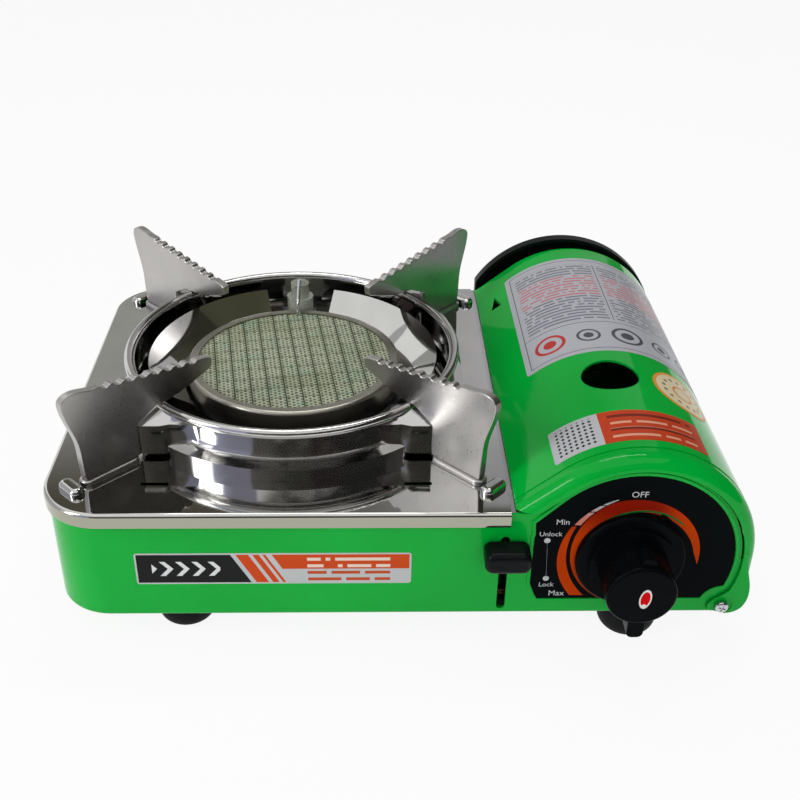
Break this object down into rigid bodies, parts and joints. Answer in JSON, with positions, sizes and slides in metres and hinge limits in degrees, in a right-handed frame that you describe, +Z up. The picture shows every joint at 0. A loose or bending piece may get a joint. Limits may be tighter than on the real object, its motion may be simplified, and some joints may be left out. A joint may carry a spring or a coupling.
{
  "type": "butane cassette stove",
  "caption": "Portable gas stove with an infrared burner inside a windshield ring, serrated pot supports, a hinged cartridge lid and a control knob.",
  "frame": {"origin": "centre of the bounding box's base, on the surface the feet stand on", "axes": "+X towards the cartridge lid, +Y from the control knob to the back, +Z up"},
  "size_m": [0.285, 0.2294, 0.1081],
  "materials": {
    "green_paint": "gloss",
    "dial_print": "satin print",
    "polished_steel": "mirror polished",
    "satin_steel": "satin",
    "dark_steel": "dull, heat darkened",
    "cast_aluminium": "as cast",
    "pale_ceramic": "matt, perforated",
    "white_ceramic": "glazed",
    "zinc_steel": "zinc plated",
    "yellow_brass": "turned",
    "black_plastic": "satin",
    "black_rubber": "matt",
    "copper_pipe": "drawn"
  },
  "bodies": {
    "base": {"lower_case": "green_paint", "dial_plate": "dial_print", "top_plate": "polished_steel", "burner_pan": "dark_steel", "burner_cup": "cast_aluminium", "ceramic_plate": "pale_ceramic", "ceramic_frame": "satin_steel", "burner_brackets": "polished_steel", "burner_screws": "zinc_steel", "igniter_bracket": "zinc_steel", "igniter_insulator": "white_ceramic", "igniter_electrode": "zinc_steel", "ignition_lead": "black_rubber", "lead_clips": "black_plastic", "mixing_tube": "zinc_steel", "injector": "yellow_brass", "injector_bracket": "zinc_steel", "gas_pipe": "copper_pipe", "valve_body": "cast_aluminium", "valve_screws": "zinc_steel", "regulator_cap": "cast_aluminium", "inlet_seal": "black_rubber", "piezo_igniter": "black_plastic", "partition": "zinc_steel", "heat_conductor": "cast_aluminium", "lever_pivot_pin": "zinc_steel", "pusher_guides": "zinc_steel", "hinge_nuts": "zinc_steel", "lid_catch": "zinc_steel", "rear_cover": "black_plastic", "rear_cover_screws": "zinc_steel", "plate_screws": "zinc_steel", "reflector_left": "polished_steel", "reflector_right": "polished_steel", "cartridge_saddle_front": "black_plastic", "cartridge_saddle_rear": "black_plastic", "hinge_screw_front": "zinc_steel", "hinge_screw_rear": "zinc_steel", "foot_front_left": "black_rubber", "foot_front_right": "black_rubber", "foot_rear_left": "black_rubber", "foot_rear_right": "black_rubber"},
    "trivet": {"wind_ring": "polished_steel", "pot_support_front_left": "satin_steel", "support_bar_front_left": "satin_steel", "pot_support_front_right": "satin_steel", "support_bar_front_right": "satin_steel", "pot_support_rear_left": "satin_steel", "support_bar_rear_left": "satin_steel", "pot_support_rear_right": "satin_steel", "support_bar_rear_right": "satin_steel"},
    "knob": {"control_knob": "black_plastic", "valve_spindle": "yellow_brass", "igniter_cam": "black_plastic"},
    "lever": {"lock_lever": "zinc_steel", "lock_lever_knob": "black_plastic"},
    "pusher": {"cartridge_pusher": "zinc_steel"},
    "lid": {"lid": "green_paint"}
  },
  "joints": [
    {"name": "lid_hinge", "type": "hinge", "parent": "base", "child": "lid", "pos_m": [0.132, 0, 0.0185], "axis": [0, 1, 0], "range_deg": [0, 95]},
    {"name": "knob_turn", "type": "hinge", "parent": "base", "child": "knob", "pos_m": [0.0912, -0.10175, 0.0435], "axis": [0, -1, 0], "range_deg": [0, 130]},
    {"name": "lever", "type": "hinge", "parent": "base", "child": "lever", "pos_m": [0.0411, -0.02975, 0.0385], "axis": [1, 0, 0], "range_deg": [0, 18]},
    {"name": "pusher_slide", "type": "slide", "parent": "base", "child": "pusher", "axis": [0, -1, 0], "range_m": [0, 0.0044]},
    {"name": "trivet_lift", "type": "slide", "parent": "base", "child": "trivet", "axis": [0, 0, 1], "range_m": [0, 0.06]}
  ],
  "couplings": [
    {"joint": "pusher_slide", "follows": "lever", "m_per_rad": 0.014}
  ]
}
